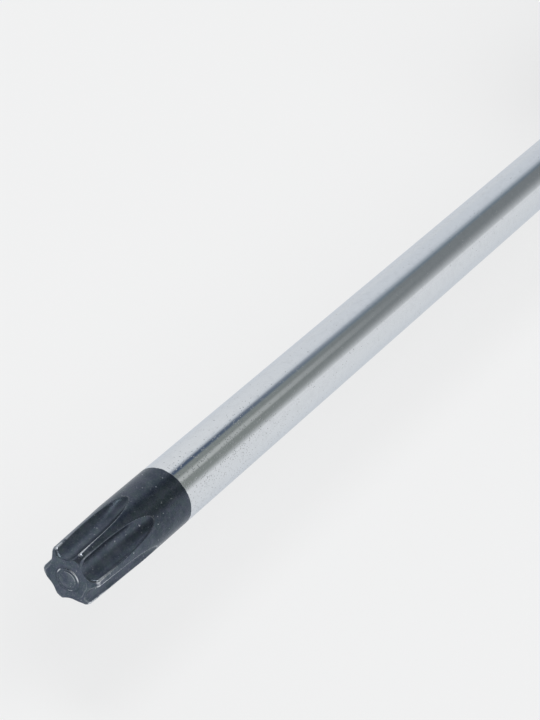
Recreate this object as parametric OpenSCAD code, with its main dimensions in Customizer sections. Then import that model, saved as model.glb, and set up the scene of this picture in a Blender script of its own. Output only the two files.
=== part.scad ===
// Six-lobe screwdriver with a fixed blade, lying on one flat of its handle.
// Lengths are in millimetres and angles in degrees. The tip points along +X and +Z is up.

/* [Blade] */
// Length of the blade in front of the handle
blade_length = 125; // [75:5:200]
// Diameter of the round blade
blade_diameter = 6; // [5.8:0.1:7]
// Length of the blade inside the handle
tang_length = 76; // [68:1:80]
// Width across the pair of wings pressed out of the tang
wing_span = 9; // [8:0.1:9.6]
// Thickness of a wing
wing_thickness = 2.2; // [1.5:0.1:3]
// Length of a wing along the blade
wing_length = 12; // [8:1:16]
// Distance from the tang's end to the first pair of wings
wing_inset = 6; // [3:1:10]
// Distance between the first and the second pair of wings
wing_pitch = 18; // [17:1:24]
// Width of the retaining groove just inside the handle's nose
groove_width = 2; // [1:0.5:3]
// Depth of the retaining groove
groove_depth = 0.3; // [0.2:0.05:0.5]

/* [Tip] */
// Width across the lobes at the end of the tip
lobe_width = 5.6; // [5.3:0.05:5.7]
// Width across the flutes
flute_width = 3.92; // [3.8:0.02:4.2]
// Radius of a flute
flute_radius = 1.3; // [1.2:0.05:1.45]
// Length over which a flute keeps its full depth
flute_straight = 2.6; // [1.5:0.1:5]
// Radius of the cutter path where a flute runs out
runout_radius = 20; // [14:1:30]
// Distance from the end at which the blade starts to narrow
taper_length = 7.5; // [5:0.5:10]
// Length at the end over which the lobes keep one width
lobe_straight = 1; // [0.8:0.1:2]
// Radius of the flat end face
end_face_radius = 2.15; // [2:0.05:2.3]
// Length of the chamfer across the lobes
chamfer_length = 0.45; // [0.3:0.05:0.6]
// Radius of the turned boss on the end face
boss_radius = 1.1; // [1.05:0.05:1.3]
// Height of the turned boss
boss_height = 0.08; // [0.04:0.02:0.1]
// Radius of the groove turned into the boss
ring_radius = 0.9; // [0.6:0.05:0.9]
// Width of the turned groove
ring_width = 0.15; // [0.1:0.05:0.2]
// Depth of the turned groove
ring_depth = 0.05; // [0.03:0.01:0.08]
// Turn of the flutes about the blade
tip_turn = 5.2; // [0:0.2:59.8]

/* [Handle] */
// Width of the handle across its flats
across_flats = 29; // [28:0.5:29.5]
// Diameter of the barrel at its fullest
barrel_diameter = 32.6; // [31.6:0.2:36]
// Diameter of the barrel at both of its ends
barrel_end_diameter = 29.8; // [29.6:0.2:31]
// Length of the barrel
barrel_length = 52; // [50:1:64]
// Length of the finger grip
grip_length = 27; // [24:1:32]
// Diameter of the finger grip at its waist
waist_diameter = 21.6; // [21:0.2:24]
// Width of the neck across its flats, under the finger grip
neck_across_flats = 15.6; // [15:0.1:16]
// Diameter of the anti-roll flange across its corners
flange_diameter = 31.4; // [30.4:0.2:33]
// Thickness of the anti-roll flange
flange_thickness = 7; // [6:0.5:10]
// Length of the nose in front of the flange
nose_length = 11; // [9:0.5:14]
// Diameter of the nose where it leaves the flange
nose_root_diameter = 21; // [18:0.5:25]
// Diameter of the nose at the blade
nose_diameter = 11.6; // [10:0.2:14]
// How full the nose is, where 1 is a plain cone
nose_fullness = 1.7; // [1.2:0.1:2.5]
// Chamfer on the flange and on the seams of the barrel
edge_chamfer = 0.6; // [0.3:0.1:1]

/* [End cap] */
// Length of the end cap
cap_length = 16; // [15:0.5:20]
// Diameter of the flat butt
butt_diameter = 15; // [14:0.5:18]
// Diameter of the spigot that plugs into the barrel
spigot_diameter = 16; // [14.5:0.5:17]
// Length of the spigot
spigot_length = 12; // [9:0.5:13]
// Height of the snap bead around the spigot
bead_height = 0.4; // [0.2:0.1:0.6]
// Length of the snap bead
bead_length = 2; // [1.6:0.1:3]
// Distance from the butt to the hang hole
hang_hole_inset = 8.5; // [8:0.1:9]
// Diameter of the hang hole
hang_hole_diameter = 6; // [4:0.5:6.5]
// Length of the hang hole's straight wall
hang_hole_land = 14; // [8:1:16]
// Diameter that the flare of the hang hole would reach one flare length further out
flare_diameter = 10; // [7:0.5:10]
// Length of the hang hole's flare
flare_length = 8; // [7:0.5:10]
// Diameter of the bare disc set into the butt
disc_diameter = 11; // [8:0.5:12]
// Thickness of the disc
disc_thickness = 1.4; // [1:0.1:2]
// Depth of the disc's face below the butt
disc_sink = 0.2; // [0.1:0.05:0.4]

/* [Soft grips] */
// Length of a palm pad
pad_length = 42; // [34:1:44]
// Width of a palm pad
pad_width = 10.4; // [8:0.2:11]
// Roundness of a pad's outline, where 2 is an ellipse
pad_roundness = 2.5; // [2:0.1:3]
// Thickness of a palm pad
pad_thickness = 2.4; // [2:0.1:2.8]
// Depth of a pad's face below its flat
pad_sink = 0.3; // [0.2:0.05:0.5]
// Distance between the cross grooves of a pad
pad_groove_pitch = 3.6; // [3:0.1:6]
// Width of a cross groove
pad_groove_width = 1.2; // [0.8:0.1:1.8]
// Depth of a cross groove
pad_groove_depth = 0.7; // [0.4:0.1:1]
// Diameter of the studs that anchor a pad
stud_diameter = 3.2; // [2.4:0.1:4]
// Length of a stud below the pad
stud_length = 2; // [1.5:0.1:2.2]
// Distance between the two studs of a pad
stud_pitch = 20; // [14:1:22]
// Distance between the ring grooves of the finger grip
ring_groove_pitch = 4; // [3.6:0.1:5]
// Width of a ring groove
ring_groove_width = 1.6; // [1:0.1:2]
// Depth of a ring groove
ring_groove_depth = 0.7; // [0.4:0.1:0.8]

/* [Core] */
// Diameter of the core moulded on the tang
core_diameter = 11; // [10.6:0.1:11.4]
// Height of the keys along the core
key_height = 1; // [0.6:0.1:1.2]
// Width of a key
key_width = 2.6; // [2:0.1:3.4]
// Length of the nose wall in front of the core
core_front_wall = 12; // [10:0.5:14]

/* [Fits] */
// Gap around every piece that is moulded or pressed into another
fit_gap = 0.04; // [0.02:0.01:0.06]

/* [Hidden] */
$fn = 96;

flats = 6;
lobes = 6;
flat_step = 360 / flats;
lobe_step = 360 / lobes;
overcut = 1;

// Stations along the handle, counted from the butt
barrel_start = cap_length;
barrel_end = barrel_start + barrel_length;
flange_start = barrel_end + grip_length;
flange_end = flange_start + flange_thickness;
handle_length = flange_end + nose_length;
total_length = handle_length + blade_length;
tang_end = handle_length - tang_length;
core_start = barrel_start + spigot_length + fit_gap;
core_end = handle_length - core_front_wall;
barrel_middle = barrel_start + barrel_length / 2;

blade_radius = blade_diameter / 2;
butt_radius = butt_diameter / 2;
barrel_radius = barrel_diameter / 2;
barrel_end_radius = barrel_end_diameter / 2;
waist_radius = waist_diameter / 2;
flange_radius = flange_diameter / 2;
spigot_radius = spigot_diameter / 2;
core_radius = core_diameter / 2;
bead_middle = barrel_start + spigot_length / 2;
keys = 4;

// Points in each curved stretch of the handle's outline
dome_steps = 12;
barrel_steps = 16;
nose_steps = 8;
pad_steps = 48;
rings = floor((grip_length - 2 * ring_groove_pitch) / ring_groove_pitch) + 1;

// The cap's outline is a quarter of an ellipse that ends in line with the barrel
function dome_radius(z) =
    butt_radius + (barrel_end_radius - butt_radius) * sqrt(1 - pow(1 - z / cap_length, 2));

// The barrel swells as a shallow parabola
function barrel_radius_at(z) =
    barrel_radius - (barrel_radius - barrel_end_radius) * pow((z - barrel_middle) / (barrel_length / 2), 2);

// A cosine ramp from one radius to another as t goes from 0 to 1
function ramp(from, to, t) = to + (from - to) * (1 + cos(180 * t)) / 2;

// The finger grip falls from the barrel to its waist and climbs to the flange
function grip_radius(z) =
    let (t = (z - barrel_end) / grip_length)
    t < 0.5 ? ramp(barrel_end_radius, waist_radius, 2 * t) : ramp(waist_radius, flange_radius, 2 * t - 1);

// The nose falls from the flange to the blade as a power curve, steepest at the blade
function nose_radius(t) = nose_root_diameter / 2 - (nose_root_diameter - nose_diameter) / 2 * pow(t, nose_fullness);

// An oval whose outline lies between an ellipse and a rectangle
function oval_side(a, half) = half * sign(a) * pow(abs(a), 2 / pad_roundness);
function oval(length, width) = [
    for (i = [0 : pad_steps - 1])
    let (a = 360 * i / pad_steps)
    [oval_side(cos(a), length / 2), oval_side(sin(a), width / 2)]
];

// Lays the tool down: its axis, drawn along +Z from the butt, becomes +X above the table
module lay() {
    translate([-total_length / 2, 0, across_flats / 2]) rotate([0, 90, 0]) children();
}

module revolve(outline) {
    rotate_extrude() polygon(outline);
}

module hexagon(width, height) {
    rotate(flat_step / 2) cylinder(h = height, r = width / 2 / cos(flat_step / 2), $fn = flats);
}

// Keeps only what lies inside the handle's flats
module inside_flats() {
    intersection() {
        children();
        hexagon(across_flats, handle_length);
    }
}

// Stands a shape on one flat, with its own +Z pointing out of the flat and its +X along the handle
module on_flat(index) {
    rotate(index * flat_step) translate([across_flats / 2, 0, barrel_middle]) rotate([0, 90, 0]) children();
}

// The two pairs of wings, square to each other
module wings(gap) {
    for (pair = [0, 1])
    rotate(pair * 90)
    translate([0, 0, tang_end + wing_inset + pair * wing_pitch + wing_length / 2])
    cube([wing_span + 2 * gap, wing_thickness + 2 * gap, wing_length + 2 * gap], center = true);
}

// The space of one flute: a straight stretch and the arc on which its cutter left the blade
module flute() {
    middle = flute_width / 2 + flute_radius;
    runout_start = total_length - flute_straight;
    runout_angle = acos(1 - (blade_radius + flute_radius + overcut - middle) / runout_radius);
    translate([middle, 0, runout_start])
    cylinder(h = flute_straight + overcut, r = flute_radius);
    translate([middle + runout_radius, 0, runout_start])
    rotate([90, 0, 0])
    rotate(180)
    rotate_extrude(angle = runout_angle)
    translate([runout_radius, 0])
    circle(r = flute_radius);
}

module blade() {
    groove_radius = blade_radius - groove_depth;
    lobe_radius = lobe_width / 2;
    face_end = total_length - boss_height;
    chamfer_start = face_end - chamfer_length;
    ring_inner = ring_radius - ring_width / 2;
    ring_outer = ring_radius + ring_width / 2;
    color([0.80, 0.81, 0.82])
    lay()
    difference() {
        union() {
            revolve([
                [0, tang_end],
                [blade_radius, tang_end],
                [blade_radius, handle_length - groove_width],
                [groove_radius, handle_length - groove_width],
                [groove_radius, handle_length],
                [blade_radius, handle_length],
                [blade_radius, total_length - taper_length],
                [lobe_radius, total_length - lobe_straight],
                [lobe_radius, chamfer_start],
                [end_face_radius, face_end],
                [boss_radius, face_end],
                [boss_radius, total_length],
                [ring_outer, total_length],
                [ring_outer, total_length - ring_depth],
                [ring_inner, total_length - ring_depth],
                [ring_inner, total_length],
                [0, total_length]
            ]);
            wings(0);
        }
        for (i = [0 : lobes - 1])
        rotate(tip_turn + i * lobe_step)
        flute();
    }
}

// The core's own outline, or the space for it when gap is positive
module core_solid(gap) {
    length = core_end - core_start + 2 * gap;
    translate([0, 0, core_start - gap]) {
        cylinder(h = length, r = core_radius + gap);
        for (i = [0 : keys - 1])
        rotate(i * 360 / keys)
        translate([0, -key_width / 2 - gap, 0])
        cube([core_radius + key_height + gap, key_width + 2 * gap, length]);
    }
}

module tang_core() {
    color([0.62, 0.63, 0.64])
    lay()
    difference() {
        core_solid(0);
        translate([0, 0, tang_end - fit_gap])
        cylinder(h = tang_length, r = blade_radius + fit_gap);
        wings(fit_gap);
    }
}

// Everything of the body that shows behind the finger grip
module barrel_outline() {
    revolve(concat(
        [[0, barrel_start], [barrel_end_radius - edge_chamfer, barrel_start]],
        [
            for (i = [0 : barrel_steps])
            let (z = barrel_start + edge_chamfer + (barrel_length - 2 * edge_chamfer) * i / barrel_steps)
            [barrel_radius_at(z), z]
        ],
        [[barrel_end_radius - edge_chamfer, barrel_end], [0, barrel_end]]
    ));
}

// The anti-roll flange and the nose in front of it
module front_outline() {
    revolve(concat(
        [
            [0, flange_start],
            [flange_radius - edge_chamfer, flange_start],
            [flange_radius, flange_start + edge_chamfer],
            [flange_radius, flange_end - edge_chamfer],
            [flange_radius - edge_chamfer, flange_end]
        ],
        [for (i = [0 : nose_steps]) [nose_radius(i / nose_steps), flange_end + nose_length * i / nose_steps]],
        [[0, handle_length]]
    ));
}

// The bore through the body: spigot seat, core seat, blade hole and the lip in the blade's groove
module body_bore() {
    seat = spigot_radius + fit_gap;
    groove_radius = blade_radius - groove_depth;
    revolve([
        [0, barrel_start - overcut],
        [seat, barrel_start - overcut],
        [seat, bead_middle - bead_length / 2 - fit_gap],
        [seat + bead_height, bead_middle],
        [seat, bead_middle + bead_length / 2 + fit_gap],
        [seat, core_start],
        [0, core_start]
    ]);
    core_solid(fit_gap);
    translate([0, 0, core_end])
    cylinder(h = core_front_wall - groove_width - fit_gap, r = blade_radius + fit_gap);
    translate([0, 0, core_end])
    cylinder(h = core_front_wall + overcut, r = groove_radius + fit_gap);
}

// A pad's pocket in its flat, with the holes for its studs
module pad_pocket() {
    floor_depth = pad_sink + pad_thickness + fit_gap;
    translate([0, 0, -floor_depth])
    linear_extrude(floor_depth + overcut)
    polygon(oval(pad_length + 2 * fit_gap, pad_width + 2 * fit_gap));
    for (side = [-1, 1])
    translate([side * stud_pitch / 2, 0, -floor_depth - stud_length])
    cylinder(h = stud_length + overcut, r = stud_diameter / 2 + fit_gap);
}

module handle_body() {
    color([0.20, 0.22, 0.24])
    lay()
    difference() {
        union() {
            inside_flats() barrel_outline();
            translate([0, 0, barrel_end - overcut]) hexagon(neck_across_flats, grip_length + 2 * overcut);
            inside_flats() front_outline();
        }
        body_bore();
        for (i = [0 : flats - 1])
        on_flat(i) pad_pocket();
    }
}

// A soft sleeve around the neck, with ring grooves for the fingers
module finger_grip() {
    start = barrel_end + fit_gap;
    length = grip_length - 2 * fit_gap;
    middle = barrel_end + grip_length / 2;
    steps_per_pitch = 4;
    steps = rings * steps_per_pitch;
    color([0.07, 0.07, 0.08])
    lay()
    difference() {
        inside_flats()
        revolve(concat(
            [[0, start]],
            [for (i = [0 : steps]) let (z = start + length * i / steps) [grip_radius(z), z]],
            [[0, start + length]]
        ));
        translate([0, 0, start - overcut])
        hexagon(neck_across_flats + 2 * fit_gap, length + 2 * overcut);
        for (i = [0 : rings - 1])
        let (z = middle + (i - (rings - 1) / 2) * ring_groove_pitch)
        translate([0, 0, z - ring_groove_width / 2])
        difference() {
            cylinder(h = ring_groove_width, r = barrel_radius + flange_radius);
            translate([0, 0, -overcut])
            cylinder(h = ring_groove_width + 2 * overcut, r = grip_radius(z) - ring_groove_depth);
        }
    }
}

module hang_hole() {
    radius = hang_hole_diameter / 2;
    rotate([90, 0, 0])
    cylinder(h = hang_hole_land + 2 * overcut, r = radius, center = true);
    for (side = [-1, 1])
    rotate([side * 90, 0, 0])
    translate([0, 0, hang_hole_land / 2])
    cylinder(h = flare_length, r1 = radius, r2 = flare_diameter / 2);
}

module end_cap() {
    seat_depth = disc_sink + disc_thickness + fit_gap;
    rim = barrel_end_radius - edge_chamfer;
    spigot_end = barrel_start + spigot_length;
    color([0.45, 0.47, 0.49])
    lay()
    difference() {
        inside_flats()
        revolve(concat(
            [[0, 0]],
            [
                for (i = [0 : dome_steps])
                let (z = (cap_length - edge_chamfer - fit_gap) * pow(i / dome_steps, 2))
                [dome_radius(z), z]
            ],
            [
                [rim, barrel_start - fit_gap],
                [spigot_radius, barrel_start - fit_gap],
                [spigot_radius, bead_middle - bead_length / 2],
                [spigot_radius + bead_height, bead_middle],
                [spigot_radius, bead_middle + bead_length / 2],
                [spigot_radius, spigot_end - edge_chamfer],
                [spigot_radius - edge_chamfer, spigot_end],
                [0, spigot_end]
            ]
        ));
        translate([0, 0, hang_hole_inset]) hang_hole();
        translate([0, 0, -overcut])
        cylinder(h = seat_depth + overcut, r = disc_diameter / 2 + fit_gap);
    }
}

// A bare disc where the size of the tip would be marked
module size_disc() {
    color([0.12, 0.13, 0.14])
    lay()
    translate([0, 0, disc_sink])
    cylinder(h = disc_thickness, r = disc_diameter / 2);
}

// A soft pad for one flat, with cross grooves in its face and two studs under it
module palm_pad(index) {
    grooves = 2 * floor((pad_length / 2 - pad_groove_width) / pad_groove_pitch) + 1;
    color([0.07, 0.07, 0.08])
    lay()
    on_flat(index)
    translate([0, 0, -pad_sink - pad_thickness]) {
        difference() {
            linear_extrude(pad_thickness) polygon(oval(pad_length, pad_width));
            for (i = [0 : grooves - 1])
            translate([(i - (grooves - 1) / 2) * pad_groove_pitch, 0, pad_thickness])
            cube([pad_groove_width, pad_width + overcut, 2 * pad_groove_depth], center = true);
        }
        for (side = [-1, 1])
        translate([side * stud_pitch / 2, 0, -stud_length])
        cylinder(h = stud_length + overcut, r = stud_diameter / 2);
    }
}

blade();
tang_core();
handle_body();
finger_grip();
end_cap();
size_disc();
palm_pad(0);  // palm_pad_1
palm_pad(1);  // palm_pad_2
palm_pad(2);  // palm_pad_3
palm_pad(3);  // palm_pad_4
palm_pad(4);  // palm_pad_5
palm_pad(5);  // palm_pad_6
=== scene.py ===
import math

import bpy
import numpy as np
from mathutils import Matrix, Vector


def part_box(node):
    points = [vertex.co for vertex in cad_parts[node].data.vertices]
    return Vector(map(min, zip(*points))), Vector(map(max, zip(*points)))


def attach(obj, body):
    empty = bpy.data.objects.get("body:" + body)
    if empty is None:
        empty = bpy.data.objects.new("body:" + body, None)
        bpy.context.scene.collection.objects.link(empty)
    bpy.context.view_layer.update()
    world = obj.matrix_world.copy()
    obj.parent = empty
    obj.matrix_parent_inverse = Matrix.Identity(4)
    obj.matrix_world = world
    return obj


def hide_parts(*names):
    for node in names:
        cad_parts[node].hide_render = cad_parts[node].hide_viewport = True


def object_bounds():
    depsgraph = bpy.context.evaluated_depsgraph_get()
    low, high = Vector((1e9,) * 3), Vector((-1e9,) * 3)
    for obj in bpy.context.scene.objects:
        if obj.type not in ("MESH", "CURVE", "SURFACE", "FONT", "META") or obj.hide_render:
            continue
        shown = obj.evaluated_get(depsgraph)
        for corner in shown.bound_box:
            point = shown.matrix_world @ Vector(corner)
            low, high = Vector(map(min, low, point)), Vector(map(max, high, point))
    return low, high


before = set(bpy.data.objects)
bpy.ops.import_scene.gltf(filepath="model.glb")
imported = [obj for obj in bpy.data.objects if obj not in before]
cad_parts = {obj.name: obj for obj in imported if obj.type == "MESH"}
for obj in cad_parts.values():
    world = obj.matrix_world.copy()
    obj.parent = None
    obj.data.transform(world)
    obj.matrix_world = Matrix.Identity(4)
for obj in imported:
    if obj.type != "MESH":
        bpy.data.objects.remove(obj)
cad_low, cad_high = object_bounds()

# A six-lobe screwdriver that lies on one flat of its handle: a plated blade with a blackened tip,
# a hard handle with soft grips let into it, an end cap with a hang hole, and a bare disc in the butt.
# Sizes are in millimetres, as on a drawing. Stations are counted along the tool from its butt, and
# angles round it from +Y towards +Z. place() turns both into metres in the shared frame.
MM = 0.001
BODY = "root"


def station(x):
    """Millimetres along the tool from the butt to a place x in the frame."""
    return (x - cad_low.x) / MM


def span(node):
    """First and last station of a CAD node."""
    low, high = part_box(node)
    return station(low.x), station(high.x)


# Places taken from the frame
TANG_END, TIP_END = span("blade")
BARREL_START, NOSE_END = span("handle_body")
GRIP_START, GRIP_END = span("finger_grip")
SPIGOT_END = span("end_cap")[1]
DISC_FACE, DISC_BACK = span("size_disc")
PAD_START, PAD_END = span("palm_pad_1")
BLADE_LOW, BLADE_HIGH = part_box("blade")
AXIS_Z = (BLADE_LOW.z + BLADE_HIGH.z) / 2
APOTHEM = (AXIS_Z - cad_low.z) / MM
FLATS = 6
FLAT_STEP = 2 * math.pi / FLATS
FIRST_FLAT = -math.pi / 2

# Fits and cut edges
FIT_GAP = 0.04
WELD_REACH = 0.004
CRISP_ANGLE = math.radians(35)

# Shaft and tang
BLADE_RADIUS = 3.0
GROOVE_RADIUS = 2.7
GROOVE_WIDTH = 2.0
TANG_CHAMFER = 0.5
WING_HALF_SPAN = 4.5
WING_HALF_THICKNESS = 1.1
WING_LENGTH = 12.0
WING_INSETS = (6.0, 24.0)

# Tip
LOBE_RADIUS = 2.875
LOBE_STRAIGHT = 1.0
TAPER_LENGTH = 7.5
FLUTE_DEPTH_RADIUS = 1.96
FLUTE_RADIUS = 1.28
FLUTE_STRAIGHT = 2.55
RUNOUT_RADIUS = 20.6
FIRST_FLUTE = math.radians(35.2)
FLUTE_HALF_ANGLE = math.radians(23.2)
END_FACE_RADIUS = 2.16
CHAMFER_ANGLE = math.radians(34.3)
BLACK_LENGTH = 13.88
# Round of the lobes' edges at distances from the end: worn at the end, crisp where the flutes run out
EDGE_ROUND_AT = (0.8, 3.0, 5.5, 8.0)
EDGE_ROUND = (0.21, 0.09, 0.09, 0.04)
RIM_ROUND = 0.08

# End face: it leans a little, and its turned middle has a boss with a trench round it, a ring groove,
# and a shelf with a ridge
FACE_TILT = math.tan(math.radians(3.1))
FACE_LEAN = math.radians(20)
TILT_LENGTH = 1.5
FACE_SINK = 0.035
BOSS_RADIUS = 1.08
BOSS_HEIGHT = 0.08
BOSS_EDGE = 0.022
RING_GROOVE_RADIUS = 0.92
RING_GROOVE_REACH = 0.04
RING_GROOVE_DEPTH = 0.04
SHELF_RADIUS = 0.82
SHELF_HEIGHT = 0.02
SHELF_EDGE = 0.02
SHELF_INNER_EDGE = 0.03
RIDGE_INSET = 0.03
RIDGE_REACH = 0.05
RIDGE_HEIGHT = 0.01
LIP_REACH = 0.05
TRENCH_OFFSET = 0.13
TRENCH_REACH = 0.06
TRENCH_DEPTH = 0.01
FACE_DEPTH = FACE_TILT * END_FACE_RADIUS + BOSS_HEIGHT

# Wear of each flute's two edges: along the edge and at its end, first of the edge at the lower angle,
# then of the other. The flutes are counted from the first one.
EDGE_WEAR = np.array([
    (0.03, 0.9, 0.13, 0.05),
    (0.27, 0.7, 0.08, 0.50),
    (0.30, 0.6, 0.40, 0.60),
    (0.30, 0.6, 0.30, 0.50),
    (0.30, 0.6, 0.30, 0.50),
    (0.30, 0.6, 1.05, 0.80),
])
END_WEAR_REACH = 2.2
# Distances from the end over which the wear along an edge fades and the wear of the run-out comes in
RUNOUT_AT = (5.5, 8.5)
RUNOUT_FADE = (1.0, 0.15)
RUNOUT_WEAR = (0.0, 0.3)
CREST_WEAR_AT = (3.0, 6.0)
CREST_WEAR = (0.18, 0.0)
CORNER_WEAR = 4.0
LOBE_END_WEAR = 0.7
FLUTE_END_WEAR = 0.4
RUBBED_SIDE = math.radians(-25)
RUBBED_END_WEAR = 0.1
FACE_RIM_WEAR = 0.34
FACE_RIM_REACH = 0.07
# Where the turned lip is rubbed bright: degrees round the axis, half width in degrees, and how much
LIP_MARKS = ((41, 34, 1.0), (144, 15, 0.8), (281, 14, 1.2))
MARK_SQUARENESS = 4
LIP_WEAR = 0.12
SHELF_WEAR = 0.17
RIDGE_WEAR = 0.3
# Painted shade in the trench round the boss: it is given as negative wear and darkens the black there
TRENCH_PAINTED_SHADE = 0.25

# Handle body and finger grip
BARREL_RADIUS = 16.3
BARREL_END_RADIUS = 14.9
WAIST_RADIUS = 10.8
NECK_APOTHEM = 7.8
FLANGE_RADIUS = 15.7
FLANGE_THICKNESS = 7.0
NOSE_ROOT_RADIUS = 10.5
NOSE_RADIUS = 5.8
NOSE_FULLNESS = 1.7
NOSE_FILLET = 1.2
NOSE_END_ROUND = 0.5
FLAT_ROUND = 0.7
SEAM_ROUND = 0.6
GRIP_END_ROUND = 0.4
RING_PITCH = 4.0
RING_WIDTH = 1.6
RING_DEPTH = 0.7
RINGS = 5
GROOVE_STEEPNESS = 6
CORE_RADIUS = 5.5
CORE_KEYS = 4
KEY_HEIGHT = 1.0
KEY_HALF_WIDTH = 1.3
CORE_FRONT_WALL = 12.0

# End cap and disc
BUTT_RADIUS = 7.5
BUTT_EDGE = 0.4
SPIGOT_RADIUS = 8.0
SPIGOT_LENGTH = 12.0
BEAD_HEIGHT = 0.4
BEAD_LENGTH = 2.0
HANG_HOLE_STATION = 8.5
HANG_HOLE_RADIUS = 3.0
HANG_HOLE_HALF_LAND = 7.0
FLARE_SLOPE = 0.25
FLARE_RINGS_AT = (6.0, 17.0)
HANG_HOLE_HALF_CUT = 18.0
SEAT_LIP = 0.25
DISC_RADIUS = 5.5
DISC_RIM = 0.3
DISC_RING_RADIUS = 4.6
DISC_RING_REACH = 0.16
DISC_RING_DEPTH = 0.08

# Palm pads
PAD_HALF_WIDTH = 5.2
PAD_ROUNDNESS = 2.5
PAD_SQUARENESS = 0.3
PAD_THICKNESS = 2.4
PAD_SINK = 0.3
PAD_END_ROUND = 0.5
PAD_GROOVE_PITCH = 3.6
PAD_GROOVE_WIDTH = 1.2
PAD_GROOVE_DEPTH = 0.7
POCKET_RISE = PAD_SINK + 1.0

BARREL_END = GRIP_START - FIT_GAP
FLANGE_START = GRIP_END + FIT_GAP
FLANGE_END = FLANGE_START + FLANGE_THICKNESS
BARREL_MIDDLE = (BARREL_START + BARREL_END) / 2
BARREL_HALF_LENGTH = (BARREL_END - BARREL_START) / 2
CORE_START = SPIGOT_END + FIT_GAP
CORE_END = NOSE_END - CORE_FRONT_WALL
BEAD_STATION = BARREL_START + SPIGOT_LENGTH / 2

# How finely the pieces are divided: columns round them, rings along them, and where the tip's rings lie
FLUTE_COLUMNS = 60
FLUTE_EDGE_CROWDING = 4
FLUTE_EDGE_REACH = math.radians(4)
CROWDING_SAMPLES = 2000
SHAFT_RINGS = 14
SHAFT_RINGS_END = 9.8
FLUTE_RINGS = 112
FLUTE_RINGS_FROM = 9.4
FLUTE_RINGS_TO = 0.85
CHAMFER_RINGS = 46
CHAMFER_RINGS_FROM = 0.82
CHAMFER_LAST_SHARE = 0.03
CHAMFER_CROWDING = 1.4
FACE_RINGS = 56
FACE_SHARES = (0.98, 0.02)
RADIUS_HALVINGS = 40
BODY_COLUMNS = 288
BARREL_RINGS = 72
NECK_RINGS = 3
FLANGE_RINGS = 28
NOSE_RINGS = 44
GRIP_COLUMNS = 216
GRIP_RINGS = 190
PAD_COLUMNS = 64
PAD_RINGS = 261
CAP_COLUMNS = 240
DOME_RINGS = 64
DOME_FIRST_SHARE = 0.01
HANG_HOLE_COLUMNS = 96
FLARE_RINGS = 12
DISC_COLUMNS = 120
DISC_FACE_RINGS = 30
DISC_FIRST_SHARE = 0.05
DISC_RIM_RINGS = 7
NEARLY_ZERO = 1e-6


# Shape helpers

def place(stations, radius, angle):
    """Points in metres for stations along the axis and polar places round it."""
    x = cad_low.x + stations * MM
    y = radius * np.cos(angle) * MM
    z = AXIS_Z + radius * np.sin(angle) * MM
    return np.stack(np.broadcast_arrays(x, y, z), -1)


def column(stations):
    """Stations as a column, to combine with a row of angles."""
    return np.asarray(stations, float).reshape(-1, 1)


def turns(columns):
    """Evenly spaced angles of one full turn, as one row."""
    return np.arange(columns)[None] * 2 * math.pi / columns


def eased(start, end, count):
    """A column of stations from start to end on a cosine, so that they lie closest at both ends."""
    return column(start + (end - start) * (1 - np.cos(np.linspace(0, math.pi, count))) / 2)


def hump(value, middle, reach):
    """A bell about a middle: the exponential of minus the square of the distance over the reach."""
    return np.exp(-(((value - middle) / reach) ** 2))


def falling(value, edge, softness):
    """A logistic curve that falls from 1 to 0 at an edge."""
    return 1 / (1 + np.exp((value - edge) / softness))


def groove_share(distance, width):
    """Depth of a groove, from 0 to 1: one over one plus a high power of the distance over the half width."""
    return 1 / (1 + (np.abs(distance) / (width / 2)) ** GROOVE_STEEPNESS)


def soft_min(first, second, reach):
    """The smaller of two radii, with a round of about that reach where they cross."""
    share = np.clip(0.5 + 0.5 * (second - first) / reach, 0, 1)
    return second * (1 - share) + first * share - reach * share * (1 - share)


def edge_drop(distance, radius):
    """How far a quarter round of that radius falls away at a distance from its edge."""
    inside = np.clip(radius - distance, 0, radius)
    return radius - np.sqrt(radius**2 - inside**2)


def nearest(value, middle, step):
    """Signed distance from the nearest of the places that lie a step apart and include the middle."""
    return (value - middle + step / 2) % step - step / 2


def flat_radius(angle, apothem=APOTHEM):
    """Polar radius of six flats: their apothem over the cosine of the angle to the nearest flat."""
    return apothem / np.cos(nearest(angle, FIRST_FLAT, FLAT_STEP))


def bar_radius(angle, direction, half_length, half_width):
    """Polar radius of a rectangle about the axis, whose long side points in that direction."""
    along = np.maximum(np.abs(np.cos(angle - direction)), NEARLY_ZERO)
    across = np.maximum(np.abs(np.sin(angle - direction)), NEARLY_ZERO)
    return np.minimum(half_length / along, half_width / across)


def stretches(angle, *profile):
    """Rings for one stretch after another, each given by its stations and its radius, even or by angle."""
    rows = []
    for stations, radius in profile:
        along = column(stations)
        grid = np.broadcast_to(radius, (along.shape[0], angle.shape[1]))
        rows.append(place(along, grid, angle))
    return np.vstack(rows)


def ring_mesh(name, points, loop=False, poles=None):
    """A mesh of rings: points is rows x columns x 3, and every row closes on itself.

    With loop the last row joins the first, as on a sleeve. Otherwise poles holds the two points that close
    the ends, each with a fan of triangles.
    """
    rows, columns = points.shape[:2]
    index = np.arange(rows * columns).reshape(rows, columns)
    ahead = np.roll(index, -1, axis=1)
    here = index
    there = ahead
    if loop:
        here = np.vstack([index, index[:1]])
        there = np.vstack([ahead, ahead[:1]])
    quads = np.stack([here[:-1], there[:-1], there[1:], here[1:]], -1).reshape(-1, 4)
    corners = points.reshape(-1, 3)
    faces = quads.tolist()
    if not loop:
        first = rows * columns
        last = first + 1
        corners = np.vstack([corners, poles])
        faces += np.stack([ahead[0], index[0], np.full(columns, first)], -1).tolist()
        faces += np.stack([index[-1], ahead[-1], np.full(columns, last)], -1).tolist()
    mesh = bpy.data.meshes.new(name)
    mesh.from_pydata(corners.tolist(), [], faces)
    mesh.shade_smooth()
    mesh.update()
    return mesh


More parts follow.
